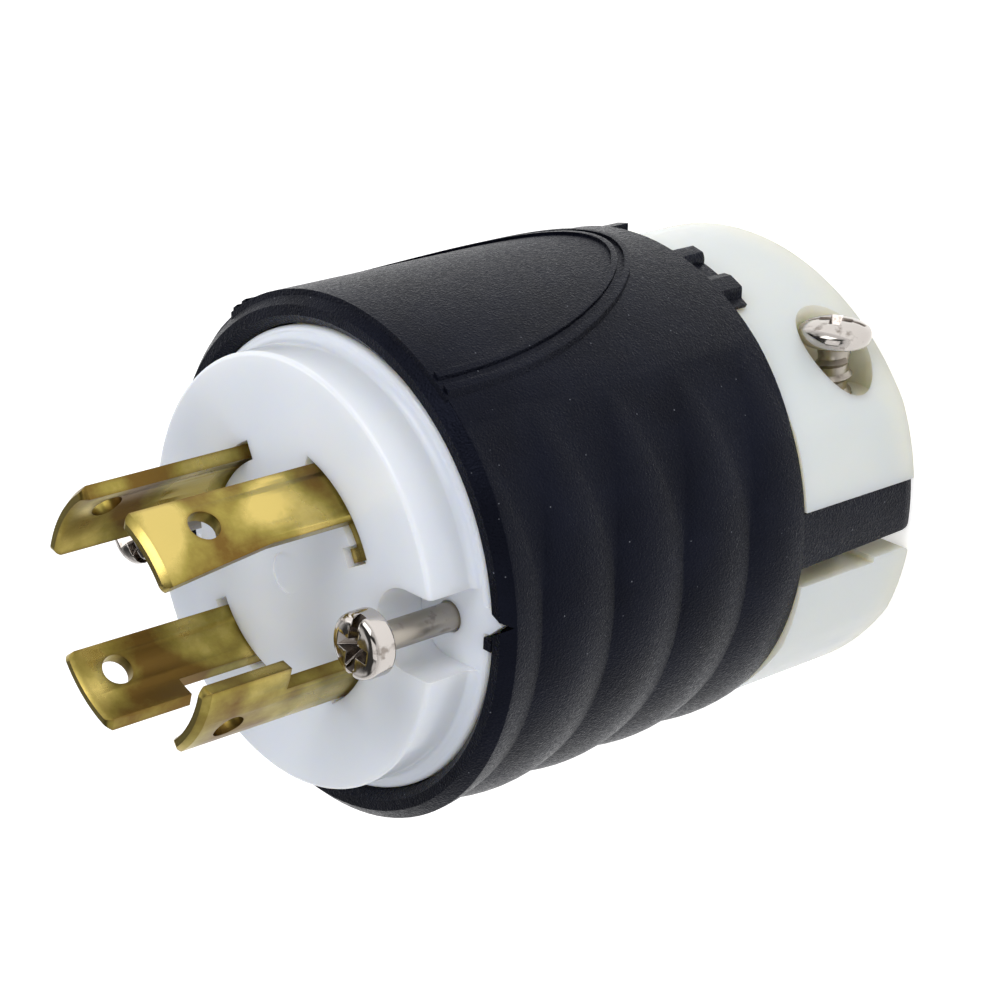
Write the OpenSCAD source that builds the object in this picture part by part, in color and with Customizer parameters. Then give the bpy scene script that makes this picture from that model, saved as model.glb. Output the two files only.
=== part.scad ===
// Locking power plug, four curved blades, stands on its cord end.
// Z runs along the plug axis towards the blades, z = 0 is the cord end.
// +Y is the side with the grip pad and the clamp screw heads, +X and -X carry
// the assembly screws and the ears between the two clamp jaws.

/* [Housing] */
// Outside diameter of the housing over the crests of its grip waves
housing_od = 57; // [54:0.5:62]
// Bore of the housing that the front body slides into
housing_bore = 50.4; // [49.8:0.2:51.2]
// Length of the housing, rear wall to front rim
housing_len = 43.2; // [41:0.5:48]
// Thickness of the rear wall that holds the clamp jaws
rear_wall = 2.8; // [2:0.2:4]
// Opening in the rear wall
rear_opening_d = 44; // [43.4:0.2:45]
// Bevel around the outside of the front rim
rim_bevel = 1.2; // [0.6:0.1:1.8]
// Bevel around the mouth of the bore
mouth_bevel = 1; // [0.4:0.1:1.3]
// Height of the lip and the stops around the crown of the upper jaw
crown_stop_h = 3.5; // [2:0.1:4]

/* [Grip] */
// Number of grip waves along the housing
wave_count = 5; // [4:1:6]
// Pitch of the grip waves
wave_pitch = 9.9; // [8.5:0.1:10.5]
// Depth of the valleys between the waves
wave_depth = 0.85; // [0.4:0.05:1.1]
// Distance from the rear edge to the first valley
wave_start = 8.1; // [6:0.1:9]
// Half width of the grip pad at its open end
pad_half_w = 17.6; // [14:0.2:19]
// Length of the grip pad from the front rim to its tip
pad_len = 39; // [30:0.5:41]
// Height of the grip pad above the crests
pad_rise = 0.3; // [0.2:0.05:0.6]
// Height of the two beads along the edge of the pad
bead_rise = 0.35; // [0.2:0.05:0.6]
// Width of each bead
bead_w = 0.7; // [0.5:0.1:1]
// Distance from the outer bead to the inner one
bead_pitch = 1.5; // [1.3:0.1:2.5]

/* [Front body] */
// Diameter of the raised face
face_d = 46.8; // [44:0.2:48]
// Height of the face above the front rim of the housing
face_proud = 5.4; // [4:0.1:7]
// How far the flange lies below the front rim of the housing
flange_recess = 0.5; // [0.1:0.1:1]
// Thickness of the flange
flange_t = 2.6; // [2:0.2:4]
// Radius of the circle that the assembly screws stand on
screw_circle_r = 19.2; // [18.6:0.1:19.6]
// Diameter of the pocket for an assembly screw head
screw_pocket_d = 8.8; // [7.8:0.1:9.4]
// Diameter of the shallow gate mark at the centre of the face
gate_d = 4.5; // [3:0.1:6]

/* [Blades] */
// Diameter of the circle around the outside of the blades
blade_circle_d = 28.2; // [27.4:0.1:29]
// Thickness of the blade metal
blade_t = 1.5; // [1.2:0.1:1.8]
// Length of the line and neutral blades in front of the face
blade_len = 20.2; // [18:0.1:22]
// Extra length of the ground blade
ground_extra = 2.8; // [1:0.1:4]
// Length of the narrow part behind the locking step
step_len = 9.8; // [7:0.1:12]
// Diameter of the hole near the tip
blade_hole_d = 3.4; // [2.4:0.1:4]
// Distance from the tip to the hole centre
blade_hole_back = 4.6; // [3.6:0.1:6]
// Bevel on the tip of each blade
tip_bevel = 0.5; // [0.3:0.05:0.7]
// Rounding of the corners at the tip of each blade
tip_corner_r = 0.9; // [0.4:0.1:1.4]
// Gap between a blade and its slot
slot_gap = 0.3; // [0.2:0.05:0.5]

/* [Terminals] */
// Height of the terminal block that holds the blade feet
block_h = 12.8; // [12:0.2:14]
// Width of the flat foot of a blade
foot_w = 12; // [11:0.2:12.6]
// Diameter of a terminal screw
terminal_screw_d = 4; // [3:0.1:4.6]
// Diameter of a terminal screw head
terminal_head_d = 7.6; // [6.6:0.1:8.4]
// Thickness of a wire plate
wire_plate_t = 1.4; // [1:0.1:2]

/* [Assembly screws] */
// Diameter of an assembly screw
assembly_d = 3; // [2.5:0.1:3.4]
// Diameter of its head
assembly_head_d = 7; // [6:0.1:7.6]
// Height of its head
assembly_head_h = 2.9; // [2:0.1:3.4]
// Length under the head
assembly_len = 28; // [27:0.5:32]
// How far the screws are backed out of their seats
assembly_backed_out = 9.7; // [0.2:0.1:10]
// Diameter of a threaded insert
insert_d = 6; // [5:0.1:6.6]
// Length of a threaded insert
insert_len = 9; // [7:0.5:11]

/* [Cord clamp] */
// Length of the clamp jaws behind the housing
jaw_len = 18; // [16:0.2:20]
// How far the jaws lie below the crests of the housing
jaw_inset = 0.2; // [0.1:0.05:0.5]
// Radius of the flatter crown of a jaw
jaw_crown_r = 30.5; // [29.5:0.1:32]
// Distance from the crown of a closed jaw to the plug axis
jaw_crown_h = 25.9; // [25:0.1:27]
// Rounding of the jaws' rear edge
jaw_edge_r = 0.4; // [0.2:0.1:1]
// Rounding where the rear of the lower jaw meets its parting face
lower_corner_r = 1.4; // [0.6:0.1:2]
// Radius of the cord saddle
saddle_r = 11; // [9:0.2:12]
// Height of the grip ribs in the saddle
saddle_rib = 0.9; // [0.5:0.1:1.2]
// Width of the land on a grip rib
saddle_land = 0.8; // [0.4:0.1:1.2]
// Width of the ears between the jaws
ear_w = 6.4; // [5:0.1:8]
// How much narrower the ears are at their rear end
ear_taper = 0.6; // [0.2:0.1:1]
// Radial thickness of the ears
ear_t = 3; // [2.4:0.1:3.4]
// Gap below the ears that the lower jaw still has to close
jaw_gap = 1.3; // [1.2:0.05:2]
// Distance of the clamp screws from the plug axis
clamp_x = 20.2; // [19.4:0.1:20.6]
// Height of the clamp screws above the cord end
clamp_z = 6.1; // [5.3:0.1:8]
// Outside diameter of the clamp screw thread
clamp_d = 4.2; // [3.6:0.1:4.4]
// Diameter of the clamp screw head
clamp_head_d = 8.1; // [7.2:0.1:8.2]
// Height of the clamp screw head
clamp_head_h = 2.8; // [2:0.1:3.2]
// Length of a clamp screw under its head
clamp_len = 28; // [26:0.5:28.5]
// How far the clamp screws stand above their seats
clamp_backed_out = 5.6; // [5.6:0.1:7]

/* [Hidden] */
$fn = 96;

fit = 0.2;          // ordinary clearance between two moulded pieces
eps = 0.01;         // overlap of a cut with the face it starts from
body_r = housing_od / 2;
bore_r = housing_bore / 2;
rear_z = jaw_len;                       // rear edge of the housing
rim_z = rear_z + housing_len;           // front rim of the housing
face_z = rim_z + face_proud;            // front of the raised face
flange_top = rim_z - flange_recess;
flange_front_r = bore_r - fit;
flange_round = 0.6;
face_sweep_r = 1.1; // concave sweep from the face into the flange
front_back = flange_top - flange_t;     // rear side of the front body
block_top = front_back - fit;
block_bottom = block_top - block_h;
ledge_z = block_bottom - fit;           // ledge and bosses that carry the block
ledge_t = 1.6;
ledge_w = 1.6;
ledge_r = bore_r - ledge_w;

// grip waves: each crest is an arc, the arcs meet in sharp valleys
lobe_r = (wave_pitch * wave_pitch / 4 + wave_depth * wave_depth) / (2 * wave_depth);
valley_r = body_r - wave_depth;
fade_from = 5;      // the valleys start to fill up here, degrees above +X
fade_to = 45;       // and are gone here
fade_shift = wave_depth / (sin(fade_to) - sin(fade_from));
fade_r = valley_r - fade_shift * sin(fade_from);
pad_r = body_r + pad_rise;
bead_r = pad_r + bead_rise;

// blades: [direction of the foot, first angle, last angle of the root,
//          first angle, last angle of the tip, extra length]
blade_r2 = blade_circle_d / 2;
blade_r1 = blade_r2 - blade_t;
ground = [55, 40.4, 71.7, 40.4, 71.7, ground_extra];
line_x = [143, 121, 155, 121, 166, 0];
neutral = [-129, -146, -116.5, -146, -105.5, 0];
line_y = [-37, -54, -24, -54, -13, 0];
ground_slant_deg = 5.9;  // the slanted edge of the ground blade gains this by the tip
hook_angle = 26;    // direction of the inward leg of the ground blade's hook
hook_r1 = 11.2;     // how far in the leg reaches
slot_deg = 4;       // extra length of a slot past the blade at each end, degrees
foot_inset = 0.3;   // the flat foot lies this much inside the curved blade
foot_floor = 2.2;   // floor under a foot
seat_gap = 0.1;     // pieces that press on each other are drawn this far apart
foot_bottom = block_bottom + foot_floor;
foot_top = block_top - seat_gap;
root_overlap = 4;   // the curved part of a blade reaches this far down its foot
terminal_z = (foot_bottom + foot_top) / 2;
foot_room = 0.5;
pocket_w = foot_w + foot_room;
pocket_behind = 2.8;    // room behind a foot for the tip of the screw
pocket_r1 = blade_r1 - pocket_behind;
screw_tip = 2.4;
terminal_len = blade_t + wire_plate_t + screw_tip;  // under the head
terminal_head_h = 2.6;
drive_slot_w = 1;
drive_slot_depth = 1.3;
wire_plate_r1 = blade_r2 + seat_gap;
terminal_seat_r = wire_plate_r1 + wire_plate_t + seat_gap;
plate_margin = 0.6; // the wire plate is this much lower than the foot at either end
spigot_r = 6;
spigot_h = 2;
centre_hole_d = 9;
centre_hole_depth = 5;
hook_cut_depth = 3;
hook_cut_w = 4.5;
tooth_deg = 3.2;    // direction of the tooth and its notch
tooth_h = 1.8;
notch_w = 3.4;
tooth_w = notch_w - 3 * fit;
key_depth = 0.4;
key_w = 1.3;
key_deg = -2.4;     // direction of the small key beside them

// assembly screws
insert_sunk = 0.3;
boss_wall = 1.6;
boss_floor = 1.5;
web_w = 5;
web_len = 8;
screw_floor = flange_top;
assembly_seat = screw_floor + assembly_backed_out;
insert_top = ledge_z - insert_sunk;
boss_d = insert_d + 2 * boss_wall;

// clamp
ear_r2 = body_r - 0.5;
jaw_r = body_r - jaw_inset;
jaw_face_y = ear_w / 2 + fit;
jaw_top_z = rear_z - fit;
neck_r = rear_opening_d / 2 - jaw_gap - 0.3;
flange_r = bore_r - jaw_gap - 0.3;
neck_top = rear_z + rear_wall + fit;
jaw_flange_t = 2;
jaw_travel = jaw_gap - fit;             // the lower jaw can close by this much
clamp_seat_y = 12.7;
clamp_pocket_d = clamp_head_d + 0.7;
clamp_hole_d = clamp_d + 2 * fit;
// the screw tip stays this far off the bottom of its hole with the jaw closed
tip_room = 0.3;
thread_hole_depth = clamp_len - clamp_seat_y - jaw_face_y - fit + tip_room;
rib_pitch = 5;
relief = 0.6;
relief_z = 6;

function tongue(w, l, z0) = concat([[-w, rim_z + 1], [w, rim_z + 1]],
    [for (a = [0:6:180]) [w * cos(a), z0 - (z0 - (rim_z - l)) * sin(a)]]);

// ring segment between two radii, two angles and two heights
module ring_segment(r1, r2, a1, a2, z1, z2)
    translate([0, 0, z1])
        rotate_extrude(angle = a2 - a1, start = a1)
            translate([r1, 0])
                square([r2 - r1, z2 - z1]);

// block that points outwards at an angle: radial span, width and height span
module radial_block(a, r1, r2, w, z1, z2)
    rotate([0, 0, a])
        translate([r1, -w / 2, z1])
            cube([r2 - r1, w, z2 - z1]);

// rectangle of a revolved profile with one rounded upper corner
module rounded_step(r, z1, z2, f) {
    translate([0, z1])
        square([r - f, z2 - z1]);
    translate([0, z1])
        square([r, z2 - z1 - f]);
    translate([r - f, z2 - f])
        circle(f);
}

// ---- housing

module wave_body()
    rotate_extrude()
        intersection() {
            polygon([[0, rear_z], [body_r - 0.4, rear_z], [body_r + 1, rear_z + 1.4],
                [body_r + 1, rim_z - 2.4], [body_r - rim_bevel, rim_z], [0, rim_z]]);
            for (i = [0:wave_count])
                translate([body_r - lobe_r, rear_z + wave_start + (i - 0.5) * wave_pitch])
                    circle(lobe_r, $fn = 180);
        }

// a slightly eccentric cylinder fills the valleys towards the pad
module smooth_side()
    intersection() {
        translate([0, 0, rear_z])
            cylinder(r = body_r, h = housing_len - 1.2);
        translate([0, fade_shift, rear_z])
            cylinder(r = fade_r, h = housing_len - 1.2);
    }

module shell_above(r, z1, z2)
    intersection() {
        translate([0, 0, z1])
            difference() {
                cylinder(r = r, h = z2 - z1);
                translate([0, 0, -1])
                    cylinder(r = valley_r - 0.5, h = z2 - z1 + 2);
            }
        translate([-body_r, 0, z1])
            cube([2 * body_r, body_r + 2, z2 - z1]);
    }

module tongue_prism(w, l)
    rotate([90, 0, 0])
        mirror([0, 0, 1])
            linear_extrude(body_r + 2)
                polygon(tongue(w, l, rim_z - 4));

module grip_pad() {
    pad_front = rim_z - 0.9;
    intersection() {
        shell_above(pad_r, rear_z + 1, pad_front);
        tongue_prism(pad_half_w, pad_len);
    }
    for (inset = [0, bead_pitch])
        intersection() {
            shell_above(bead_r, rear_z + 1, pad_front - 0.3);
            difference() {
                tongue_prism(pad_half_w - inset, pad_len - inset);
                tongue_prism(pad_half_w - inset - bead_w, pad_len - inset - bead_w);
            }
        }
}

// block with one rounded corner, the corner points to +X +Y and lies at the origin
module stop_block(w, d, r, h) {
    translate([-w, -d, 0])
        cube([w, d - r, h]);
    translate([-w, -d, 0])
        cube([w - r, d, h]);
    translate([-r, -r, 0])
        cylinder(r = r, h = h);
}

// lip and three stops around the flatter crown of the upper jaw
module crown() {
    stop_r = body_r - 0.2;
    back = rear_z - crown_stop_h;
    stop_h = crown_stop_h + 0.8;
    intersection() {
        difference() {
            union() {
                ring_segment(bore_r, body_r - 1.3, 57.5, 76, back, back + stop_h);
                ring_segment(bore_r, body_r - 1.9, 75, 84, back, back + stop_h);
                // round stop
                rotate([0, 0, 76.1])
                    translate([body_r - 1.3, 0, back])
                        cylinder(r = 1.35, h = stop_h);
                // wide stop
                translate([(body_r + 0.6) * cos(61.8), (body_r + 0.6) * sin(61.8), back])
                    stop_block(2.8, 3.6, 1.3, stop_h);
                // narrow stop
                translate([body_r * cos(98.6), body_r * sin(98.6), back])
                    stop_block(1.7, 2.4, 0.4, stop_h);
            }
            // clear of the crown of the jaw
            translate([0, jaw_crown_h - jaw_crown_r, 0])
                cylinder(r = jaw_crown_r + fit, h = rear_z + 0.5);
        }
        cylinder(r = stop_r, h = rim_z);
    }
}

// curved ears between the jaws, tapered on their lower side
module ears() {
    low_y = -ear_w / 2 + ear_taper;
    soft = 0.5;
    end_bevel = 0.35;
    end_band = 1.3;
    for (side = [0, 1])
        intersection() {
            rotate_extrude()
                polygon([[ear_r2 - ear_t, 0], [ear_r2 - end_bevel, 0], [ear_r2, end_band],
                    [ear_r2, rear_z + 1], [ear_r2 - ear_t, rear_z + 1]]);
            mirror([side, 0, 0])
                rotate([90, 0, 90])
                    linear_extrude(body_r)
                        polygon([[-ear_w / 2, rear_z + 1], [-ear_w / 2, rear_z], [low_y, soft],
                            [low_y + soft * 0.3, soft * 0.3], [low_y + soft, 0],
                            [ear_w / 2, 0], [ear_w / 2, rear_z + 1]]);
        }
}

module insert_bosses()
    for (s = [-1, 1])
        intersection() {
            translate([s * screw_circle_r, 0, ledge_z - insert_len - boss_floor])
                union() {
                    cylinder(d = boss_d, h = insert_len + boss_floor);
                    translate([s > 0 ? 0 : -web_len, -web_w / 2, 0])
                        cube([web_len, web_w, insert_len + boss_floor]);
                }
            cylinder(r = bore_r + 0.5, h = rim_z);
        }

module housing()
    color("#23242b")
        difference() {
            union() {
                difference() {
                    union() {
                        wave_body();
                        smooth_side();
                        grip_pad();
                    }
                    translate([0, 0, rear_z + rear_wall])
                        cylinder(r = bore_r, h = housing_len);
                    translate([0, 0, rear_z - 1])
                        cylinder(d = rear_opening_d, h = rear_wall + 2);
                    translate([0, 0, rim_z - mouth_bevel])
                        cylinder(r1 = bore_r - eps, r2 = bore_r + mouth_bevel + eps,
                            h = mouth_bevel + 2 * eps);
                }
                ears();
                crown();
                insert_bosses();
                // ledge that the terminal block seats on
                translate([0, 0, ledge_z - ledge_t])
                    difference() {
                        cylinder(r = bore_r + 0.5, h = ledge_t);
                        translate([0, 0, -1])
                            cylinder(r = ledge_r, h = ledge_t + 2);
                    }
                // small key that enters the flange of the front body
                radial_block(key_deg, flange_front_r - key_depth, bore_r + 0.5, key_w,
                    rim_z - 2.2, rim_z - 0.3);
            }
            for (s = [-1, 1])
                translate([s * screw_circle_r, 0, insert_top - insert_len])
                    cylinder(d = insert_d + seat_gap, h = insert_len + 2);
            // pointed notch for the tooth of the front body
            rotate([0, 0, tooth_deg])
                translate([flange_front_r, 0, rim_z - tooth_h - fit])
                    linear_extrude(tooth_h + 1)
                        polygon([[-0.4, -notch_w / 2], [fit, -notch_w / 2],
                            [body_r - flange_front_r - 0.2, 0],
                            [fit, notch_w / 2], [-0.4, notch_w / 2]]);
        }

// ---- front body with the blade slots

module front_profile() {
    boss_r = face_d / 2;
    rounded_step(flange_front_r, front_back, flange_top, flange_round);
    rounded_step(boss_r, front_back, face_z, 0.5);
    // concave sweep from the boss into the flange
    difference() {
        translate([boss_r - 0.5, flange_top - 0.1])
            square([face_sweep_r + 0.5, face_sweep_r + 0.1]);
        translate([boss_r + face_sweep_r, flange_top + face_sweep_r])
            circle(face_sweep_r + eps);
    }
}

module blade_slot(b)
    ring_segment(blade_r1 - slot_gap, blade_r2 + slot_gap, b[3] - slot_deg, b[4] + slot_deg,
        front_back - 1, face_z + 1);

module screw_pocket(s)
    translate([s * screw_circle_r, 0, screw_floor]) {
        cylinder(d = screw_pocket_d, h = face_proud + 1);
        translate([s > 0 ? 0 : -8, -screw_pocket_d / 2, 0])
            cube([8, screw_pocket_d, face_proud + 1]);
    }

module front_body()
    color("#eef1f2")
        difference() {
            union() {
                rotate_extrude()
                    front_profile();
                // spigot that centres the terminal block
                translate([0, 0, front_back - spigot_h])
                    cylinder(r = spigot_r, h = spigot_h + eps);
                // key tooth on the flange
                rotate([0, 0, tooth_deg])
                    translate([flange_front_r, 0, rim_z - tooth_h])
                        linear_extrude(tooth_h - 0.2)
                            polygon([[-0.7, -tooth_w / 2], [fit, -tooth_w / 2], [2.1, 0],
                                [fit, tooth_w / 2], [-0.7, tooth_w / 2]]);
            }
            for (b = [ground, line_x, neutral, line_y])
                blade_slot(b);
            // the slot of the ground blade turns inwards for its hook
            ring_segment(blade_r1 - slot_gap, blade_r2 + slot_gap, hook_angle - 3, 40,
                front_back - 1, face_z + 1);
            radial_block(hook_angle, hook_r1 - slot_gap, blade_r2, blade_t + 2 * slot_gap,
                front_back - 1, face_z + 1);
            for (s = [-1, 1]) {
                screw_pocket(s);
                translate([s * screw_circle_r, 0, front_back - 1])
                    cylinder(d = assembly_d + 2 * fit, h = face_proud + flange_t + 2);
            }
            // notch for the key of the housing
            radial_block(key_deg, flange_front_r - key_depth - fit, bore_r + 1, key_w + 2 * fit,
                rim_z - 2.4, rim_z + 1);
            // gate mark
            translate([0, 0, face_z - 0.2])
                cylinder(d = gate_d, h = 1);
        }

// ---- terminal block

// the foot stands on a floor, past it the wire comes straight in from the rear
module terminal_pocket(b)
    rotate([0, 0, b[0]]) {
        translate([pocket_r1, -pocket_w / 2, foot_bottom - fit])
            cube([bore_r, pocket_w, block_top - foot_bottom + 1]);
        translate([blade_r2 + 0.1, -pocket_w / 2, block_bottom - 1])
            cube([bore_r, pocket_w, block_h]);
    }

module terminal_block()
    color("#d9dcd8")
        difference() {
            translate([0, 0, block_bottom])
                cylinder(r = bore_r - fit, h = block_h);
            for (b = [ground, line_x, neutral, line_y])
                terminal_pocket(b);
            // the hook of the ground blade passes the top of the block
            radial_block(hook_angle, hook_r1 - slot_gap, blade_r2 + 1, hook_cut_w,
                block_top - hook_cut_depth, block_top + 1);
            translate([0, 0, block_top - spigot_h - 2 * fit])
                cylinder(r = spigot_r + fit, h = spigot_h + 2 * fit + 1);
            translate([0, 0, block_bottom - 1])
                cylinder(d = centre_hole_d, h = centre_hole_depth + 1);
            for (s = [-1, 1])
                translate([s * screw_circle_r, 0, block_bottom - 1])
                    cylinder(d = assembly_d + 2 * fit, h = block_h + 2);
        }

// ---- blades

// what is cut from a blade to round a corner of its tip, side is +1 at its last edge
module tip_corner(a, side, y, tip_z)
    rotate([0, 0, a])
        translate([blade_r1 - 1, y, tip_z])
            rotate([90, 0, 90])
                linear_extrude(blade_t + 2)
                    difference() {
                        translate([side > 0 ? -tip_corner_r : -0.5, -tip_corner_r])
                            square([tip_corner_r + 0.5, tip_corner_r + 0.5]);
                        translate([-side * tip_corner_r, -tip_corner_r])
                            circle(tip_corner_r + eps, $fn = 48);
                    }

// curved blade from the foot to the tip, with a locking step behind the wide tip;
// what is passed as a child is added before the hole and the bevels are cut
module blade(b) {
    tip_z = face_z + blade_len + b[5];
    step_z = face_z + step_len;
    difference() {
        union() {
            ring_segment(blade_r1, blade_r2, b[1], b[2], foot_top - root_overlap, tip_z);
            if (b[3] != b[1] || b[4] != b[2])
                ring_segment(blade_r1, blade_r2, b[3], b[4], step_z, tip_z);
            children();
            // flat foot with the terminal hole
            radial_block(b[0], blade_r1 - foot_inset, blade_r2 - foot_inset, foot_w,
                foot_bottom, foot_top);
        }
        rotate([0, 0, b[0]])
            translate([blade_r1 - 2, 0, terminal_z])
                rotate([0, 90, 0])
                    cylinder(d = terminal_screw_d + 0.1, h = blade_t + 4);
        rotate([0, 0, (b[1] + b[2]) / 2])
            translate([blade_r1 - 2, 0, tip_z - blade_hole_back - b[5] * 0.9])
                rotate([0, 90, 0])
                    cylinder(d = blade_hole_d, h = blade_t + 4);
        if (b[5] == 0)
            tip_corner(b[3], -1, 0, tip_z);
        tip_corner(b[4], 1, 0, tip_z);
        // bevel on the outer and inner edge of the tip
        translate([0, 0, tip_z])
            rotate_extrude()
                polygon([[blade_r2 + 1, -tip_bevel - 1.5], [blade_r2 + 1, 1], [blade_r2 - tip_bevel, 1],
                    [blade_r2 - tip_bevel, 0], [blade_r2, -1.5 * tip_bevel]]);
        translate([0, 0, tip_z])
            rotate_extrude()
                polygon([[blade_r1 - 1, -tip_bevel - 1.5], [blade_r1, -1.5 * tip_bevel],
                    [blade_r1 + tip_bevel * 0.6, 0], [blade_r1 + tip_bevel * 0.6, 1], [blade_r1 - 1, 1]]);
    }
}

// the ground blade carries a short hook that turns inwards inside its slot
module ground_hook() {
    hook_top = face_z - 0.6;
    hook_bottom = foot_top - root_overlap / 2;
    corner_deg = 2.2;
    ring_segment(blade_r1 + 0.05, blade_r2 - 0.05, hook_angle - corner_deg, ground[1] + 1,
        hook_bottom, hook_top);
    radial_block(hook_angle, hook_r1, blade_r2 - 0.4, blade_t, hook_bottom - 0.2, hook_top - 0.1);
}

// the tip of the ground blade widens along a slant instead of a step
module ground_widening() {
    tip_z = face_z + blade_len + ground_extra;
    slant_z = face_z + step_len;
    w = blade_r2 * sin(ground_slant_deg);
    intersection() {
        ring_segment(blade_r1, blade_r2, ground[1] - 2 * ground_slant_deg, ground[1] + 8,
            slant_z - 2, tip_z);
        rotate([0, 0, ground[1]])
            translate([blade_r1 - 1, 0, 0])
                rotate([90, 0, 90])
                    linear_extrude(blade_t + 2)
                        polygon([[1, slant_z - 1], [0, slant_z], [-w, tip_z],
                            [-w, tip_z + 1], [1, tip_z + 1]]);
    }
}

module ground_blade()
    color("#b99c3f") {
        difference() {
            blade(ground)
                ground_widening();
            tip_corner(ground[1], -1, -blade_r2 * sin(ground_slant_deg),
                face_z + blade_len + ground_extra);
        }
        ground_hook();
    }

module line_x_blade()
    color("#b99c3f")
        blade(line_x);

module line_y_blade()
    color("#b99c3f")
        blade(line_y);

module neutral_blade()
    color("#b99c3f")
        blade(neutral);

// ---- terminal screws and wire plates

module terminal_screw(b)
    rotate([0, 0, b[0]])
        translate([terminal_seat_r, 0, terminal_z])
            rotate([0, 90, 0])
                difference() {
                    union() {
                        cylinder(d = terminal_head_d, h = terminal_head_h);
                        translate([0, 0, -terminal_len])
                            cylinder(d = terminal_screw_d, h = terminal_len + eps);
                    }
                    translate([-terminal_head_d / 2, -drive_slot_w / 2,
                        terminal_head_h - drive_slot_depth])
                        cube([terminal_head_d, drive_slot_w, drive_slot_depth + 1]);
                }

module wire_plate(b)
    difference() {
        radial_block(b[0], wire_plate_r1, wire_plate_r1 + wire_plate_t, foot_w - 2,
            foot_bottom + plate_margin, foot_top - plate_margin);
        rotate([0, 0, b[0]])
            translate([blade_r2 - 1, 0, terminal_z])
                rotate([0, 90, 0])
                    cylinder(d = terminal_screw_d + 2 * fit, h = wire_plate_t + 2);
    }

module ground_terminal_screw()
    color("#3f8f4f")
        terminal_screw(ground);

module line_x_terminal_screw()
    color("#c9a94a")
        terminal_screw(line_x);

module line_y_terminal_screw()
    color("#c9a94a")
        terminal_screw(line_y);

module neutral_terminal_screw()
    color("#c4c6c8")
        terminal_screw(neutral);

module ground_wire_plate()
    color("#b9bbbd")
        wire_plate(ground);

module line_x_wire_plate()
    color("#b9bbbd")
        wire_plate(line_x);

module line_y_wire_plate()
    color("#b9bbbd")
        wire_plate(line_y);

module neutral_wire_plate()
    color("#b9bbbd")
        wire_plate(neutral);

// ---- assembly screws and the inserts they thread into

// slot and cross recess in the top of a head
module drive_recess(d, h) {
    for (a = [0, 90])
        rotate([0, 0, a])
            translate([-d * 0.36, -d * 0.075, h - 1.6])
                cube([d * 0.72, d * 0.15, 2]);
    translate([-d * 0.16, -d * 0.16, h - 1.6])
        cube([d * 0.32, d * 0.32, 2]);
    translate([-d, -d * 0.06, h - 0.9])
        cube([2 * d, d * 0.12, 2]);
}

module assembly_screw(s)
    translate([s * screw_circle_r, 0, assembly_seat])
        difference() {
            union() {
                rotate_extrude()
                    rounded_step(assembly_head_d / 2, 0, assembly_head_h, 0.5);
                translate([0, 0, -assembly_len])
                    cylinder(d = assembly_d, h = assembly_len + eps);
            }
            rotate([0, 0, 35])
                drive_recess(assembly_head_d, assembly_head_h);
        }

module threaded_insert(s)
    translate([s * screw_circle_r, 0, insert_top - insert_len])
        difference() {
            cylinder(d = insert_d, h = insert_len);
            translate([0, 0, -1])
                cylinder(d = assembly_d + 0.1, h = insert_len + 2);
        }

module assembly_screws()
    color("#c9c7c4")
        for (s = [-1, 1])
            assembly_screw(s);

module threaded_inserts()
    color("#c8a64a")
        for (s = [-1, 1])
            threaded_insert(s);

// ---- cord clamp

// full round of a jaw pair before it is split, drawn for the upper jaw
module jaw_blank() {
    intersection() {
        rotate_extrude()
            jaw_edge(jaw_r);
        translate([0, jaw_crown_h - jaw_crown_r, 0])
            rotate_extrude()
                jaw_edge(jaw_crown_r);
    }
    translate([0, 0, jaw_top_z - eps])
        cylinder(r = neck_r, h = neck_top - jaw_top_z + 2 * eps);
    translate([0, 0, neck_top])
        cylinder(r = flange_r, h = jaw_flange_t);
}

// half section of a jaw with a rounded rear edge
module jaw_edge(r) {
    translate([0, jaw_edge_r])
        square([r, jaw_top_z - jaw_edge_r]);
    square([r - jaw_edge_r, jaw_top_z]);
    translate([r - jaw_edge_r, jaw_edge_r])
        circle(jaw_edge_r);
}

// saddle with three narrow ribs that bite into the cord jacket
module saddle() {
    difference() {
        translate([0, 0, -1])
            cylinder(r = saddle_r, h = neck_top + jaw_flange_t + 2);
        for (i = [-1:1])
            translate([0, 0, jaw_len / 2 + i * rib_pitch])
                rotate_extrude()
                    polygon([[saddle_r + 1, -1.6], [saddle_r + 1, 1.6],
                        [saddle_r - saddle_rib, saddle_land / 2],
                        [saddle_r - saddle_rib, -saddle_land / 2]]);
    }
}

// what is cut along a parting face to round its rear edge, drawn for the lower jaw
module parting_corner(y, r)
    translate([-body_r - 1, y, 0])
        rotate([90, 0, 90])
            linear_extrude(2 * body_r + 2)
                difference() {
                    translate([-r, -1])
                        square([r + 1, r + 1]);
                    translate([-r, r])
                        circle(r + eps, $fn = 48);
                }

module half_space()
    translate([-body_r - 1, jaw_face_y, -1])
        cube([2 * body_r + 2, body_r + 2, neck_top + jaw_flange_t + 2]);

module upper_clamp_jaw()
    color("#e9e9dd")
        difference() {
            intersection() {
                jaw_blank();
                half_space();
            }
            saddle();
            mirror([0, 1, 0])
                parting_corner(-jaw_face_y, jaw_edge_r);
            for (s = [-1, 1])
                translate([s * clamp_x, 0, clamp_z])
                    rotate([-90, 0, 0]) {
                        cylinder(d = clamp_hole_d, h = body_r);
                        translate([0, 0, clamp_seat_y])
                            cylinder(d = clamp_pocket_d, h = body_r);
                    }
        }

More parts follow.
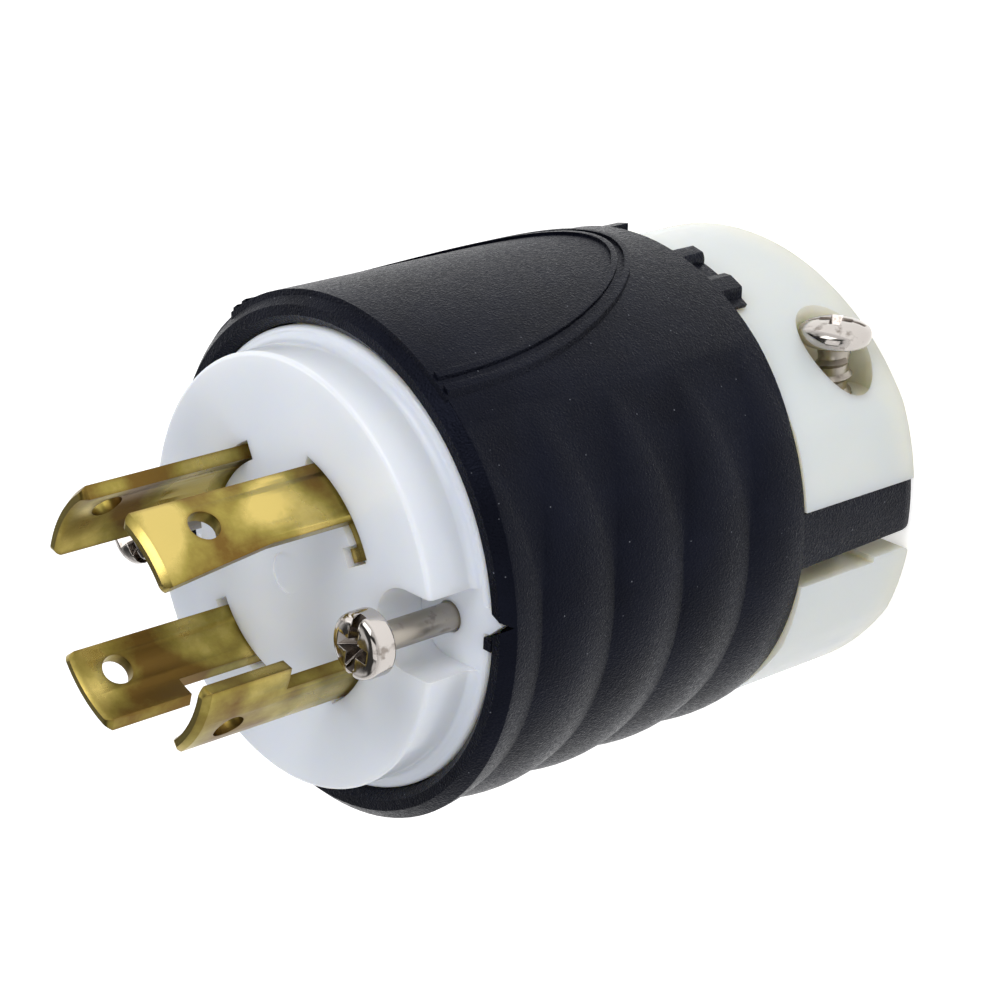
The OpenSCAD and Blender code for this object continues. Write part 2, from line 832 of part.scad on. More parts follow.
module lower_clamp_jaw()
    color("#e9e9dd")
        difference() {
            translate([0, -jaw_gap, 0])
                mirror([0, 1, 0])
                    intersection() {
                        jaw_blank();
                        half_space();
                    }
            saddle();
            parting_corner(-jaw_face_y - jaw_gap, lower_corner_r);
            for (s = [-1, 1]) {
                translate([s * clamp_x, -jaw_face_y - jaw_gap - thread_hole_depth, clamp_z])
                    rotate([-90, 0, 0])
                        cylinder(d = clamp_hole_d, h = thread_hole_depth + 1);
                // shallow relief beside the ear
                translate([s > 0 ? body_r - 5 : -body_r - 1, -jaw_face_y - jaw_gap - relief, relief_z])
                    cube([6, relief + 1, jaw_top_z - relief_z + 1]);
            }
        }

// pan head, the top is a shallow dome
module clamp_screw(s)
    translate([s * clamp_x, clamp_seat_y + clamp_backed_out, clamp_z])
        rotate([-90, 0, 0])
            difference() {
                union() {
                    rotate_extrude()
                        rounded_step(clamp_head_d / 2, 0, clamp_head_h, 0.9);
                    translate([0, 0, 3 - clamp_len])
                        cylinder(d = clamp_d, h = clamp_len - 3 + eps);
                    translate([0, 0, -clamp_len])
                        cylinder(d1 = clamp_d * 0.7, d2 = clamp_d, h = 3 + eps);
                }
                drive_recess(clamp_head_d, clamp_head_h);
            }

module clamp_screws()
    color("#c9c7c4")
        for (s = [-1, 1])
            clamp_screw(s);

housing();
front_body();
terminal_block();
ground_blade();
line_x_blade();
line_y_blade();
neutral_blade();
ground_terminal_screw();
line_x_terminal_screw();
line_y_terminal_screw();
neutral_terminal_screw();
ground_wire_plate();
line_x_wire_plate();
line_y_wire_plate();
neutral_wire_plate();
assembly_screws();
threaded_inserts();
upper_clamp_jaw();
lower_clamp_jaw();
clamp_screws();
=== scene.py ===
import math
import bpy
from mathutils import Matrix, Quaternion, Vector


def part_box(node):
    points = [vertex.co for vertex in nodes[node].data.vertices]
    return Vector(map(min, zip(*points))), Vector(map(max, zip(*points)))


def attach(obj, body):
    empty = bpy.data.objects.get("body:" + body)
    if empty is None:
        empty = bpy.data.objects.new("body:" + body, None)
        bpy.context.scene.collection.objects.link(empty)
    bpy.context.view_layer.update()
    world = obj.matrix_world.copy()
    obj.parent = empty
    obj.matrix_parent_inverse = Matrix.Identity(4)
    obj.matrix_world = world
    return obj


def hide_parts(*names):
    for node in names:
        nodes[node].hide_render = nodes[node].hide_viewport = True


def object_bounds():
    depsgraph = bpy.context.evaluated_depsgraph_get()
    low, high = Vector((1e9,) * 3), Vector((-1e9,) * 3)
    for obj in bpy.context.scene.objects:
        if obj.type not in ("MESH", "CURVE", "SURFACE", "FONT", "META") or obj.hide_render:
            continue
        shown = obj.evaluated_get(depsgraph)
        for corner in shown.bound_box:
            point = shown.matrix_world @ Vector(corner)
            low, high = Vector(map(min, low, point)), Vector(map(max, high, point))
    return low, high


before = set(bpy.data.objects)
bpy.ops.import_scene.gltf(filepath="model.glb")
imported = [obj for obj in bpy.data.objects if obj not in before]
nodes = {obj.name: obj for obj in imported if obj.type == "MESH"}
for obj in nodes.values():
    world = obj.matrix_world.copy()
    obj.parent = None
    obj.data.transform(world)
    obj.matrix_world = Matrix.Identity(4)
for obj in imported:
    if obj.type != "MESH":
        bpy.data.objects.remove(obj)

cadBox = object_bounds()
mm = 0.001

# ---------- small helpers ----------


def linear(hexColour):
    # sRGB hex to the linear RGBA that the shaders take
    values = [int(hexColour[i:i + 2], 16) / 255 for i in (1, 3, 5)]
    return [v / 12.92 if v <= 0.04045 else ((v + 0.055) / 1.055) ** 2.4 for v in values] + [1.0]


def addNode(material, kind, settings=None, links=None):
    # one node with its settings; a link is a socket to connect or a plain value
    node = material.node_tree.nodes.new(kind)
    for name, value in (settings or {}).items():
        setattr(node, name, value)
    for name, value in (links or {}).items():
        socket = node.inputs[name]
        if isinstance(value, bpy.types.NodeSocket):
            material.node_tree.links.new(value, socket)
        else:
            socket.default_value = value
    return node


def newMaterial(name):
    material = bpy.data.materials.new(name)
    material.use_nodes = True
    material.node_tree.nodes.clear()
    return material


def finishMaterial(material, settings, links):
    # the surface shader, with constants on its own sockets
    shader = addNode(material, "ShaderNodeBsdfPrincipled", None, {**settings, **links})
    addNode(material, "ShaderNodeOutputMaterial", None, {"Surface": shader.outputs["BSDF"]})
    return material


def deselectAll():
    if bpy.context.object and bpy.context.object.mode != "OBJECT":
        bpy.ops.object.mode_set(mode="OBJECT")
    bpy.ops.object.select_all(action="DESELECT")


def setMaterial(obj, material):
    obj.data.materials.clear()
    obj.data.materials.append(material)


def applyPlace(obj):
    deselectAll()
    obj.select_set(True)
    bpy.context.view_layer.objects.active = obj
    bpy.ops.object.transform_apply(location=True, rotation=True, scale=True)


def applyModifiers(obj):
    deselectAll()
    obj.select_set(True)
    bpy.context.view_layer.objects.active = obj
    for modifier in list(obj.modifiers):
        bpy.ops.object.modifier_apply(modifier=modifier.name)


def joinPieces(pieces, name):
    deselectAll()
    for piece in pieces:
        piece.select_set(True)
    bpy.context.view_layer.objects.active = pieces[0]
    bpy.ops.object.join()
    pieces[0].name = name
    return pieces[0]


# ---------- camera ----------

cameraSet = {
    "location": (0.2111, 0.1099, 0.2277),
    "target": (0.0032, 0.0027, 0.0398),
    "rollDegrees": -106.56,   # the plug stands on its cord end and the picture is turned
    "lens": 99.35,
    "sensor": 36.0,
}


def makeCamera(s):
    deselectAll()
    bpy.ops.object.camera_add(location=s["location"])
    camera = bpy.context.object
    camera.name = "pictureCamera"
    aim = (Vector(s["target"]) - Vector(s["location"])).to_track_quat("-Z", "Y")
    camera.rotation_mode = "QUATERNION"
    camera.rotation_quaternion = aim @ Quaternion((0, 0, 1), math.radians(s["rollDegrees"]))
    camera.data.lens = s["lens"]
    camera.data.sensor_width = s["sensor"]
    camera.data.clip_start = 0.01
    camera.data.clip_end = 20
    bpy.context.scene.camera = camera


makeCamera(cameraSet)
print("camera set")

# ---------- materials ----------


def objectPoints(material):
    return addNode(material, "ShaderNodeTexCoord").outputs["Object"]


def noiseAt(material, points, sizeMm, detail=2.0, rough=0.5, distortion=0.0):
    # a noise whose blotches are about sizeMm across
    return addNode(material, "ShaderNodeTexNoise", None, {
        "Vector": points, "Scale": 1 / (sizeMm * mm), "Detail": detail,
        "Roughness": rough, "Distortion": distortion})


def rampOf(material, value, stops):
    ramp = addNode(material, "ShaderNodeValToRGB", None, {"Fac": value})
    for i, (place, colour) in enumerate(sorted(stops)):
        if i > 1:
            ramp.color_ramp.elements.new(place)
        ramp.color_ramp.elements[i].position = place
        ramp.color_ramp.elements[i].color = linear(colour)
    return ramp.outputs["Color"]


def rangeOf(material, value, fromLow, fromHigh, low, high):
    return addNode(material, "ShaderNodeMapRange", None, {
        "Value": value, "From Min": fromLow, "From Max": fromHigh,
        "To Min": low, "To Max": high}).outputs["Result"]


blackSet = {
    "dark": "#07080f",
    "light": "#0f111b",
    "gloss": "#b9c2ea",
    "grainMm": 0.24,     # grit of the eroded tool, drawn a little coarse so that it shows
    "dustMm": 1.9,
    "roughness": 0.35,
}


def blackNylon(s):
    # nylon 6/6 moulded in a spark-eroded tool: near black, satin, with a fine glittering grit
    material = newMaterial("mouldedBlackNylon")
    points = objectPoints(material)
    grit = addNode(material, "ShaderNodeTexVoronoi", {"feature": "F1"}, {
        "Vector": points, "Scale": 1 / (s["grainMm"] * mm)})
    blotch = noiseAt(material, points, 7.0, 3.0)
    colour = rampOf(material, blotch.outputs["Fac"], [(0.3, s["dark"]), (0.7, s["light"])])
    cellTone = addNode(material, "ShaderNodeSeparateColor", None, {"Color": grit.outputs["Color"]})
    rough = rangeOf(material, cellTone.outputs["Red"], 0.0, 1.0, s["roughness"] - 0.12, s["roughness"] + 0.1)
    dust = addNode(material, "ShaderNodeTexVoronoi", {"feature": "F1"}, {
        "Vector": points, "Scale": 1 / (s["dustMm"] * mm)})
    speck = rangeOf(material, dust.outputs["Distance"], 0.05, 0.035, 0.0, 0.5)
    dusty = addNode(material, "ShaderNodeMix", {"data_type": "RGBA"}, {
        "Factor": speck, "A": colour, "B": linear("#8d9098")})
    height = addNode(material, "ShaderNodeMath", {"operation": "MULTIPLY_ADD"}, {
        0: cellTone.outputs["Green"], 1: 0.6, 2: grit.outputs["Distance"]})
    bump = addNode(material, "ShaderNodeBump", None, {
        "Height": height.outputs["Value"], "Distance": 0.045 * mm, "Strength": 1.0})
    return finishMaterial(material, {"IOR": 1.53, "Specular IOR Level": 0.1, "Specular Tint": linear(s["gloss"])}, {
        "Base Color": dusty.outputs["Result"], "Roughness": rough, "Normal": bump.outputs["Normal"]})


whiteSet = {
    "face": ("#dfe5f0", "#e7ecf5"),
    "jaw": ("#dce2e3", "#e4e8e6"),
    "facePaintedGlow": "#f1f4fa",   # painted glow: a lighter colour mixed in where walls are close, standing in for light gathered in the nylon; the next line is the same for the jaws
    "jawPaintedGlow": "#fff8dc",
    "roughness": 0.22,
    "scatterMm": (3.0, 2.6, 1.9),
}


def whiteNylon(name, colours, paintedGlow, s):
    # natural white nylon, moulded in a polished tool: satin gloss, light enters a little way
    material = newMaterial(name)
    points = objectPoints(material)
    cloud = noiseAt(material, points, 14.0, 1.0)
    colour = rampOf(material, cloud.outputs["Fac"], [(0.3, colours[0]), (0.7, colours[1])])
    # painted glow: where the occlusion finds walls within 7 mm, the colour is mixed towards the lighter glow
    # colour, a painted stand-in for light gathered in the translucent nylon
    close = addNode(material, "ShaderNodeAmbientOcclusion", {"samples": 6}, {"Distance": 7 * mm})
    paintedGlowMask = rangeOf(material, close.outputs["AO"], 0.2, 0.85, 1.0, 0.0)
    paintedGlowColour = addNode(material, "ShaderNodeMix", {"data_type": "RGBA"}, {
        "Factor": paintedGlowMask, "A": colour, "B": linear(paintedGlow)})
    flow = noiseAt(material, points, 3.0, 1.0)
    rough = rangeOf(material, flow.outputs["Fac"], 0.3, 0.7, s["roughness"] - 0.02, s["roughness"] + 0.04)
    bump = addNode(material, "ShaderNodeBump", None, {
        "Height": flow.outputs["Fac"], "Distance": 0.02 * mm, "Strength": 0.12})
    return finishMaterial(material, {
        "IOR": 1.53, "Subsurface Weight": 0.75, "Subsurface Scale": 1.0,
        "Subsurface Radius": [v * mm for v in s["scatterMm"]]}, {
        "Base Color": paintedGlowColour.outputs["Result"], "Roughness": rough, "Normal": bump.outputs["Normal"]})


brassSet = {
    "clean": "#c4af66",
    "olive": "#948643",
    "brown": "#6e5529",
    "roughness": 0.22,
    "rollMm": 0.12,      # rolling lines of the strip, along the blade
    "darkBand": (72.0, 79.0, 82.5, 86.0),   # heights between which the blades are drawn darker
    "darkBandBy": -0.12,
}


def stampedBrass(s):
    # cartridge brass strip, rolled and stamped: yellow metal with olive and brown tarnish,
    # darker in a soft band across the strip and along its edges
    material = newMaterial("stampedBrass")
    points = objectPoints(material)
    bands = addNode(material, "ShaderNodeMapping", None, {
        "Vector": points, "Scale": (1.0, 1.0, 1.6)})
    cloud = noiseAt(material, bands.outputs["Vector"], 10.0, 1.0, 0.4, 0.3)
    spots = noiseAt(material, points, 1.7, 5.0, 0.65)
    along = addNode(material, "ShaderNodeSeparateXYZ", None, {"Vector": points})
    # the tone is pulled darker in a band of heights along the blades
    rise = rangeOf(material, along.outputs["Z"], s["darkBand"][0] * mm, s["darkBand"][1] * mm, 0.0, s["darkBandBy"])
    fall = rangeOf(material, along.outputs["Z"], s["darkBand"][2] * mm, s["darkBand"][3] * mm, 1.0, 0.0)
    spotted = addNode(material, "ShaderNodeMath", {"operation": "MULTIPLY_ADD"}, {
        0: spots.outputs["Fac"], 1: 0.22, 2: cloud.outputs["Fac"]})
    mixed = addNode(material, "ShaderNodeMath", {"operation": "MULTIPLY_ADD"}, {
        0: rise, 1: fall, 2: spotted.outputs["Value"]})
    tarnish = rampOf(material, mixed.outputs["Value"], [
        (0.4, s["brown"]), (0.56, s["olive"]), (0.72, s["clean"])])
    # the colour turns darker brown along the edges of the sheet, where the local occlusion inside finds them
    edge = addNode(material, "ShaderNodeAmbientOcclusion", {"samples": 6, "only_local": True, "inside": True}, {
        "Distance": 0.5 * mm})
    darkening = rangeOf(material, edge.outputs["AO"], 0.45, 0.95, 0.75, 0.0)
    toned = addNode(material, "ShaderNodeMix", {"data_type": "RGBA"}, {
        "Factor": darkening, "A": tarnish, "B": linear(s["brown"])})
    along = addNode(material, "ShaderNodeMapping", None, {
        "Vector": points, "Scale": (1.0, 1.0, 0.04)})
    lines = noiseAt(material, along.outputs["Vector"], s["rollMm"], 2.0)
    rough = rangeOf(material, mixed.outputs["Value"], 0.5, 0.75, s["roughness"] + 0.16, s["roughness"])
    bump = addNode(material, "ShaderNodeBump", None, {
        "Height": lines.outputs["Fac"], "Distance": 0.01 * mm, "Strength": 0.25})
    return finishMaterial(material, {"Metallic": 1.0}, {
        "Base Color": toned.outputs["Result"], "Roughness": rough, "Normal": bump.outputs["Normal"]})


platedSet = {
    "screw": "#bfb9b4",
    "plate": "#b7b6b3",
    "thread": "#a9a298",
    "threadRoughness": 0.3,
    # painted shade: the dark brown mixed into the hollows of the screws and plates
    "paintedRecessShade": "#54473f",
    "roughness": 0.1,
}


def platedSteel(name, colour, roughness):
    # plated steel, headed and rolled: bright, smooth, slightly warm, with painted shade darkening the hollows
    material = newMaterial(name)
    points = objectPoints(material)
    marks = noiseAt(material, points, 1.4, 3.0, 0.5)
    tone = rampOf(material, marks.outputs["Fac"], [(0.3, "#8f8780"), (0.42, colour)])
    rough = rangeOf(material, marks.outputs["Fac"], 0.3, 0.7, roughness + 0.08, roughness - 0.03)
    # painted shade: a dark brown mixed in where the local occlusion finds hollows, such as the recess of the head
    hollow = addNode(material, "ShaderNodeAmbientOcclusion", {"samples": 6, "only_local": True}, {
        "Distance": 1.3 * mm})
    paintedRecessShade = rangeOf(material, hollow.outputs["AO"], 0.35, 0.9, 0.65, 0.0)
    darkening = addNode(material, "ShaderNodeMix", {"data_type": "RGBA"}, {
        "Factor": paintedRecessShade, "A": tone, "B": linear(platedSet["paintedRecessShade"])})
    return finishMaterial(material, {"Metallic": 1.0}, {"Base Color": darkening.outputs["Result"], "Roughness": rough})


def dyedSteel(name, dark, light):
    # steel with a green chromate dye, thin enough for the metal to shine through
    material = newMaterial(name)
    points = objectPoints(material)
    cloud = noiseAt(material, points, 1.2, 3.0)
    tone = rampOf(material, cloud.outputs["Fac"], [(0.3, dark), (0.7, light)])
    return finishMaterial(material, {"Metallic": 0.85, "Roughness": 0.34}, {"Base Color": tone})


def greyThermoplastic(name, dark, light):
    # glass-filled polyester of the inner block: matt, with short pale fibres at the skin
    material = newMaterial(name)
    points = objectPoints(material)
    fibres = noiseAt(material, points, 0.5, 3.0, 0.6, 1.5)
    tone = rampOf(material, fibres.outputs["Fac"], [(0.35, dark), (0.65, light)])
    bump = addNode(material, "ShaderNodeBump", None, {
        "Height": fibres.outputs["Fac"], "Distance": 0.03 * mm, "Strength": 0.3})
    return finishMaterial(material, {"IOR": 1.57, "Roughness": 0.55}, {
        "Base Color": tone, "Normal": bump.outputs["Normal"]})


housingNylon = blackNylon(blackSet)
faceNylon = whiteNylon("mouldedWhiteNylon", whiteSet["face"], whiteSet["facePaintedGlow"], whiteSet)
jawNylon = whiteNylon("mouldedClampNylon", whiteSet["jaw"], whiteSet["jawPaintedGlow"], whiteSet)
bladeBrass = stampedBrass(brassSet)
screwSteel = platedSteel("nickelPlatedScrewSteel", platedSet["screw"], platedSet["roughness"])
threadSteel = platedSteel("rolledThreadSteel", platedSet["thread"], platedSet["threadRoughness"])
plateSteel = platedSteel("zincPlatedPlateSteel", platedSet["plate"], 0.3)
groundGreen = dyedSteel("greenDyedSteel", "#2c6a3c", "#4f9a5b")
blockPlastic = greyThermoplastic("greyBlockThermoplastic", "#b3b6b1", "#c9cbc6")

setMaterial(nodes["housing"], housingNylon)
setMaterial(nodes["front_body"], faceNylon)
setMaterial(nodes["terminal_block"], blockPlastic)
for name in ("ground_blade", "line_x_blade", "line_y_blade", "neutral_blade",
             "line_x_terminal_screw", "line_y_terminal_screw", "threaded_inserts"):
    setMaterial(nodes[name], bladeBrass)
for name in ("ground", "line_x", "line_y", "neutral"):
    setMaterial(nodes[name + "_wire_plate"], plateSteel)
setMaterial(nodes["ground_terminal_screw"], groundGreen)
setMaterial(nodes["neutral_terminal_screw"], screwSteel)
setMaterial(nodes["assembly_screws"], screwSteel)
setMaterial(nodes["clamp_screws"], screwSteel)
setMaterial(nodes["upper_clamp_jaw"], jawNylon)
setMaterial(nodes["lower_clamp_jaw"], jawNylon)
print("materials on the frame")

# ---------- softened edges ----------

edgeSet = {
    # width of the rounding in mm and the least angle that is an edge
    "ground_blade": (0.28, 32), "line_x_blade": (0.28, 32), "line_y_blade": (0.28, 32),
    "neutral_blade": (0.28, 32),
    "front_body": (0.22, 32), "housing": (0.2, 36),
    "upper_clamp_jaw": (0.25, 32), "lower_clamp_jaw": (0.25, 32),
}


def softenEdges(obj, width, degrees):
    # a moulded or tumbled edge is never quite sharp
    weld = obj.modifiers.new("weld", "WELD")
    weld.merge_threshold = 0.002 * mm
    edge = obj.modifiers.new("edge", "BEVEL")
    edge.width = width * mm
    edge.segments = 3
    edge.limit_method = "ANGLE"
    edge.angle_limit = math.radians(degrees)
    edge.use_clamp_overlap = True
    edge.harden_normals = False


for name, (width, degrees) in edgeSet.items():
    softenEdges(nodes[name], width, degrees)
print("edges softened")

# ---------- screws ----------


clampScrewSet = {
    "node": "clamp_screws",
    "body": "clamp_screws",
    # radius and height of the head's section over its seat, from the underside to the top
    "head": [(3.3, 0.0), (3.72, 0.16), (3.92, 0.5), (4.05, 1.0), (4.02, 1.5), (3.86, 1.8),
             (3.3, 2.18), (2.6, 2.48), (1.9, 2.66), (1.0, 2.76)],
    "widest": 4.05,
    "neck": 1.85,        # radius of the smooth neck
    "neckLength": 0.9,
    "core": 1.72,        # radius at the root of the thread
    "crest": 2.2,
    "pitch": 1.9,
    "threadEnd": 24.5,
    "tip": 28.0,
    "recess": {"arm": 0.27, "width": 0.085, "depth": 1.7, "slotWidth": 0.045, "slotDepth": 0.62, "turn": 35},
}

assemblyScrewSet = {
    "node": "assembly_screws",
    "body": "plug",
    "head": [(3.2, 0.0), (3.45, 0.12), (3.5, 0.35), (3.5, 1.9), (3.38, 2.4), (3.05, 2.72),
             (2.5, 2.86), (1.5, 2.9)],
    "widest": 3.5,
    "neck": 1.5,
    "neckLength": 18.0,
    "core": 1.25,
    "crest": 1.5,
    "pitch": 0.8,
    "threadEnd": 26.5,
    "tip": 28.0,
    "recess": {"arm": 0.37, "width": 0.11, "depth": 1.9, "slotWidth": 0.07, "slotDepth": 1.0, "turn": 80},
}


def turnedBlank(name, rings, sides=64):
    # a round blank from the first ring to the last, each one extruded and scaled from the one before
    deselectAll()
    radius, height = rings[0]
    bpy.ops.mesh.primitive_circle_add(vertices=sides, radius=radius * mm, fill_type="NGON",
                                      location=(0, 0, height * mm))
    blank = bpy.context.object
    blank.name = name
    bpy.ops.object.mode_set(mode="EDIT")
    bpy.ops.mesh.select_all(action="SELECT")
    for nextRadius, nextHeight in rings[1:]:
        bpy.ops.mesh.extrude_region_move(TRANSFORM_OT_translate={"value": (0, 0, (nextHeight - height) * mm)})
        bpy.ops.transform.resize(value=(nextRadius / radius, nextRadius / radius, 1))
        radius, height = nextRadius, nextHeight
    bpy.ops.mesh.select_all(action="SELECT")
    bpy.ops.mesh.normals_make_consistent(inside=False)
    bpy.ops.object.mode_set(mode="OBJECT")
    applyPlace(blank)
    return blank


def threadRidge(name, s):
    # one triangle swept along the helix, its foot a little inside the core
    deselectAll()
    foot = s["core"] - 0.12
    rise = s["crest"] - foot
    bpy.ops.mesh.primitive_circle_add(vertices=3, radius=mm, rotation=(math.pi / 2, 0, 0))
    ridge = bpy.context.object
    ridge.name = name
    applyPlace(ridge)
    corners = [(foot, -0.62), (foot + rise, 0.0), (foot, 0.62)]
    for vertex, (x, z) in zip(ridge.data.vertices, corners):
        vertex.co = (x * mm, 0, (z * s["pitch"] / 1.9 - s["threadEnd"]) * mm)
    sweep = ridge.modifiers.new("helix", "SCREW")
    sweep.axis = "Z"
    sweep.screw_offset = s["pitch"] * mm
    sweep.iterations = int((s["threadEnd"] - s["neckLength"]) / s["pitch"])
    sweep.steps = sweep.render_steps = 40
    sweep.use_merge_vertices = False
    applyModifiers(ridge)
    bpy.ops.object.mode_set(mode="EDIT")
    bpy.ops.mesh.select_all(action="SELECT")
    bpy.ops.mesh.fill_holes(sides=3)
    bpy.ops.mesh.select_all(action="SELECT")
    bpy.ops.mesh.normals_make_consistent(inside=False)
    bpy.ops.object.mode_set(mode="OBJECT")
    return ridge


def recessCutter(headRadius, top, r):
    # a cross that narrows towards its bottom, and a straight slot across the head
    arms = []
    for turn in (0, 90):
        deselectAll()
        bpy.ops.mesh.primitive_cube_add(size=2, location=(0, 0, (top - r["depth"] / 2 + 0.2) * mm))
        arm = bpy.context.object
        arm.scale = (r["arm"] * 2 * headRadius * mm, r["width"] * 2 * headRadius * mm, (r["depth"] / 2 + 0.2) * mm)
        applyPlace(arm)
        bpy.ops.object.mode_set(mode="EDIT")
        bpy.ops.mesh.select_all(action="DESELECT")
        bpy.ops.object.mode_set(mode="OBJECT")
        low = min(v.co.z for v in arm.data.vertices)
        for vertex in arm.data.vertices:
            vertex.select = vertex.co.z < low + 0.01 * mm
        bpy.ops.object.mode_set(mode="EDIT")
        bpy.ops.transform.resize(value=(0.3, 0.6, 1))
        bpy.ops.object.mode_set(mode="OBJECT")
        arm.rotation_euler = (0, 0, math.radians(turn))
        applyPlace(arm)
        arms.append(arm)
    deselectAll()
    bpy.ops.mesh.primitive_cube_add(size=2, location=(0, 0, (top - r["slotDepth"] + 1) * mm))
    slot = bpy.context.object
    slot.scale = (1.3 * headRadius * mm, r["slotWidth"] * 2 * headRadius * mm, mm)
    applyPlace(slot)
    return arms + [slot]


def makeScrew(name, s):
    # head and shank in one turned blank, with the recess cut and the thread laid on
    top = s["head"][-1][1]
    shank = [(0.05, -s["tip"]), (s["core"] * 0.75, -s["tip"] + 2.2), (s["core"], -s["threadEnd"]),
             (s["core"], -s["neckLength"] - 0.4), (s["neck"], -s["neckLength"]), (s["neck"], -0.15),
             (s["neck"] + 0.15, 0.0)]
    screw = turnedBlank(name, shank + s["head"])
    for cutter in recessCutter(s["widest"], top, s["recess"]):
        cut = screw.modifiers.new("recess", "BOOLEAN")
        cut.object = cutter
        cut.operation = "DIFFERENCE"
        cut.solver = "EXACT"
        applyModifiers(screw)
        bpy.data.objects.remove(cutter, do_unlink=True)
    edge = screw.modifiers.new("edge", "BEVEL")
    edge.width = 0.09 * mm
    edge.segments = 2
    edge.limit_method = "ANGLE"
    edge.angle_limit = math.radians(38)
    applyModifiers(screw)
    screw.rotation_euler = (0, 0, math.radians(s["recess"]["turn"]))
    applyPlace(screw)
    screw = joinPieces([screw, threadRidge(name + "Thread", s)], name)
    screw.data.materials.clear()
    for material in (screwSteel, threadSteel):
        screw.data.materials.append(material)
    for face in screw.data.polygons:
        face.material_index = 1 if face.center.z < -0.1 * mm else 0
    return screw


def copyPiece(piece, name):
    deselectAll()
    piece.select_set(True)
    bpy.context.view_layer.objects.active = piece
    bpy.ops.object.duplicate()
    bpy.context.object.name = name
    return bpy.context.object


def placeScrews(s, turn, seats):
    first = makeScrew(s["node"] + "First", s)
    second = copyPiece(first, s["node"] + "Second")
    for screw, (seat, spin) in zip((first, second), seats):
        screw.rotation_euler = (0, 0, math.radians(spin))
        applyPlace(screw)
        screw.rotation_euler = turn
        screw.location = seat
        applyPlace(screw)
    pair = joinPieces([first, second], s["node"] + "Turned")
    deselectAll()
    pair.select_set(True)
    bpy.context.view_layer.objects.active = pair
    bpy.ops.object.shade_smooth_by_angle(angle=math.radians(34))
    even = pair.modifiers.new("even", "WEIGHTED_NORMAL")
    even.keep_sharp = True
    applyModifiers(pair)
    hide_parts(s["node"])
    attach(pair, s["body"])
    return pair


low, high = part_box("clamp_screws")
headRadius = (high[2] - low[2]) / 2
seatY = high[1] - clampScrewSet["head"][-1][1] * mm - 0.02 * mm
placeScrews(clampScrewSet, (-math.pi / 2, 0, 0), [
    (((high[0] - headRadius), seatY, (low[2] + high[2]) / 2), 0),
    (((low[0] + headRadius), seatY, (low[2] + high[2]) / 2), 70)])

low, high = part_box("assembly_screws")
headRadius = (high[1] - low[1]) / 2
seatZ = high[2] - assemblyScrewSet["head"][-1][1] * mm
placeScrews(assemblyScrewSet, (0, 0, 0), [
    (((high[0] - headRadius), 0, seatZ), 0),
    (((low[0] + headRadius), 0, seatZ), 50)])
print("screws made")

# ---------- floor and light ----------

floorSet = {
    "size": 3.0,
    "colour": "#f4f4f4",
    "shownWhite": 0.5,   # added for the camera and in reflections only
}


def makeFloor(s):
    deselectAll()
    bpy.ops.mesh.primitive_plane_add(size=s["size"], location=(0, 0, cadBox[0].z - 0.02 * mm))
    floor = bpy.context.object
    floor.name = "studioFloor"
    # matt white paper; it looks white to the camera and in metal, and keeps the shadow
    material = newMaterial("whitePaperFloor")
    path = addNode(material, "ShaderNodeLightPath")
    seen = addNode(material, "ShaderNodeMath", {"operation": "MAXIMUM"}, {
        0: path.outputs["Is Camera Ray"], 1: path.outputs["Is Glossy Ray"]})
    seenToo = addNode(material, "ShaderNodeMath", {"operation": "MAXIMUM"}, {
        0: seen.outputs["Value"], 1: path.outputs["Is Transmission Ray"]})
    strength = addNode(material, "ShaderNodeMath", {"operation": "MULTIPLY"}, {
        0: seenToo.outputs["Value"], 1: s["shownWhite"]})
    finishMaterial(material, {"Roughness": 0.9, "Base Color": linear(s["colour"])}, {
        "Emission Color": [1, 1, 1, 1], "Emission Strength": strength.outputs["Value"]})
    setMaterial(floor, material)
    applyPlace(floor)


lightSet = {
    "key": {"location": (0.10, 0.42, 0.36), "size": 0.34, "power": 0.95},
    "front": {"location": (0.30, -0.05, 0.42), "size": 0.4, "power": 0.55},
    "side": {"location": (-0.35, 0.10, 0.30), "size": 0.3, "power": 0.4},
    "sky": 0.545,
    "roomDark": 0.05,
    "roomLight": 0.8,
    "roomScale": 1.7,
}


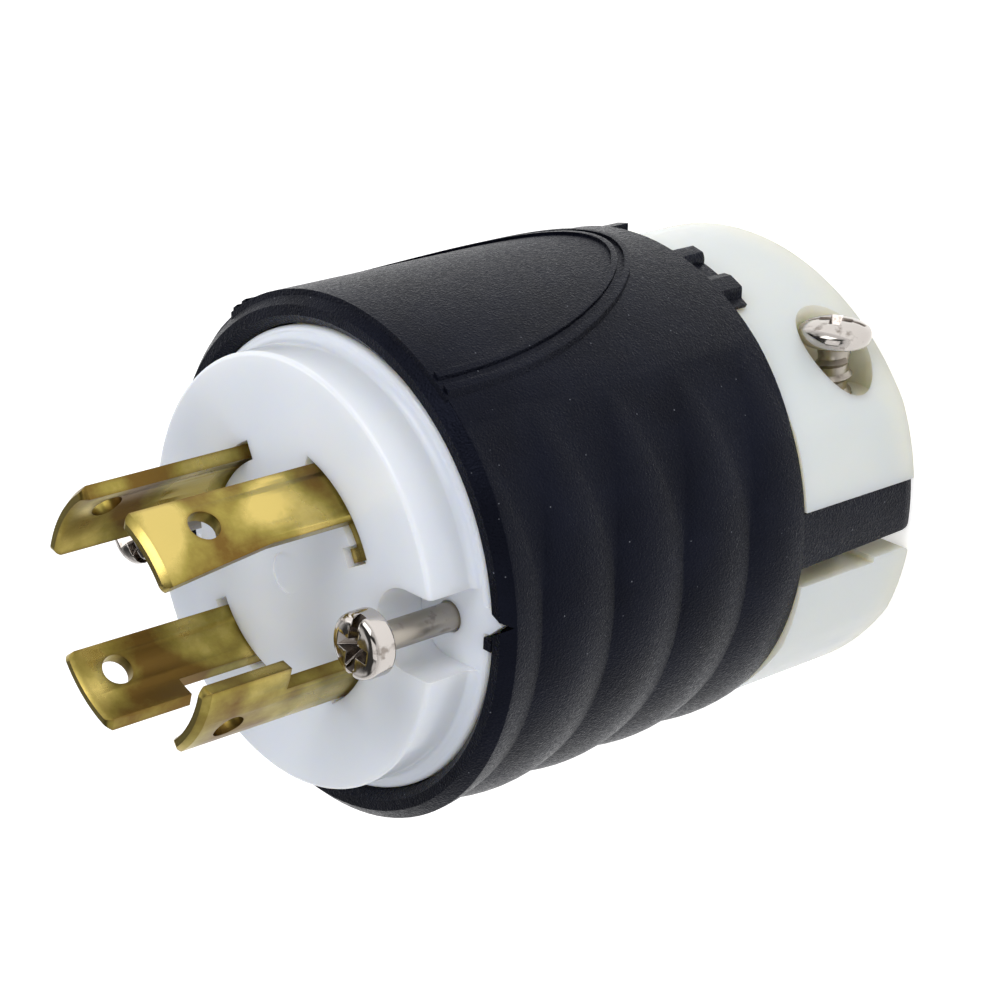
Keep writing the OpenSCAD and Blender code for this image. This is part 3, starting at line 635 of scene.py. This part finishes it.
def makeLights(s):
    for name in ("key", "front", "side"):
        deselectAll()
        lamp = s[name]
        bpy.ops.object.light_add(type="AREA", location=lamp["location"])
        light = bpy.context.object
        light.name = name + "Softbox"
        light.data.size = lamp["size"]
        light.data.energy = lamp["power"]
        aim = Vector(cameraSet["target"]) - Vector(lamp["location"])
        light.rotation_mode = "QUATERNION"
        light.rotation_quaternion = aim.to_track_quat("-Z", "Y")
    world = bpy.data.worlds.new("studioWorld")
    bpy.context.scene.world = world
    world.use_nodes = True
    tree = world.node_tree
    tree.nodes.clear()
    path = tree.nodes.new("ShaderNodeLightPath")
    seen = tree.nodes.new("ShaderNodeMath")
    seen.operation = "MAXIMUM"
    seenToo = tree.nodes.new("ShaderNodeMath")
    seenToo.operation = "MAXIMUM"
    tree.links.new(path.outputs["Is Camera Ray"], seen.inputs[0])
    tree.links.new(path.outputs["Is Transmission Ray"], seen.inputs[1])
    tree.links.new(seen.outputs["Value"], seenToo.inputs[0])
    tree.links.new(path.outputs["Is Glossy Ray"], seenToo.inputs[1])
    level = tree.nodes.new("ShaderNodeMapRange")
    level.inputs["To Min"].default_value = s["sky"]
    level.inputs["To Max"].default_value = 1.0
    tree.links.new(seenToo.outputs["Value"], level.inputs["Value"])
    sky = tree.nodes.new("ShaderNodeBackground")
    sky.inputs["Color"].default_value = [1, 1, 1, 1]
    # a room over the white sweep: metal shows lamps and dark corners above, and white below
    direction = tree.nodes.new("ShaderNodeTexCoord")
    room = tree.nodes.new("ShaderNodeTexNoise")
    room.inputs["Scale"].default_value = s["roomScale"]
    room.inputs["Detail"].default_value = 1.0
    tree.links.new(direction.outputs["Generated"], room.inputs["Vector"])
    tone = tree.nodes.new("ShaderNodeMapRange")
    tone.inputs["From Min"].default_value = 0.48
    tone.inputs["From Max"].default_value = 0.6
    tone.inputs["To Min"].default_value = s["roomDark"]
    tone.inputs["To Max"].default_value = s["roomLight"]
    tree.links.new(room.outputs["Fac"], tone.inputs["Value"])
    height = tree.nodes.new("ShaderNodeSeparateXYZ")
    tree.links.new(direction.outputs["Generated"], height.inputs["Vector"])
    above = tree.nodes.new("ShaderNodeMapRange")
    above.inputs["From Min"].default_value = 0.15
    above.inputs["From Max"].default_value = 0.4
    tree.links.new(height.outputs["Z"], above.inputs["Value"])
    inRoom = tree.nodes.new("ShaderNodeMath")
    inRoom.operation = "MULTIPLY"
    tree.links.new(above.outputs["Result"], inRoom.inputs[0])
    tree.links.new(path.outputs["Is Glossy Ray"], inRoom.inputs[1])
    strength = tree.nodes.new("ShaderNodeMix")
    tree.links.new(inRoom.outputs["Value"], strength.inputs["Factor"])
    tree.links.new(level.outputs["Result"], strength.inputs["A"])
    tree.links.new(tone.outputs["Result"], strength.inputs["B"])
    tree.links.new(strength.outputs["Result"], sky.inputs["Strength"])
    output = tree.nodes.new("ShaderNodeOutputWorld")
    tree.links.new(sky.outputs["Background"], output.inputs["Surface"])


makeFloor(floorSet)
makeLights(lightSet)
bpy.context.scene.view_settings.view_transform = "Standard"
print("floor and light set")
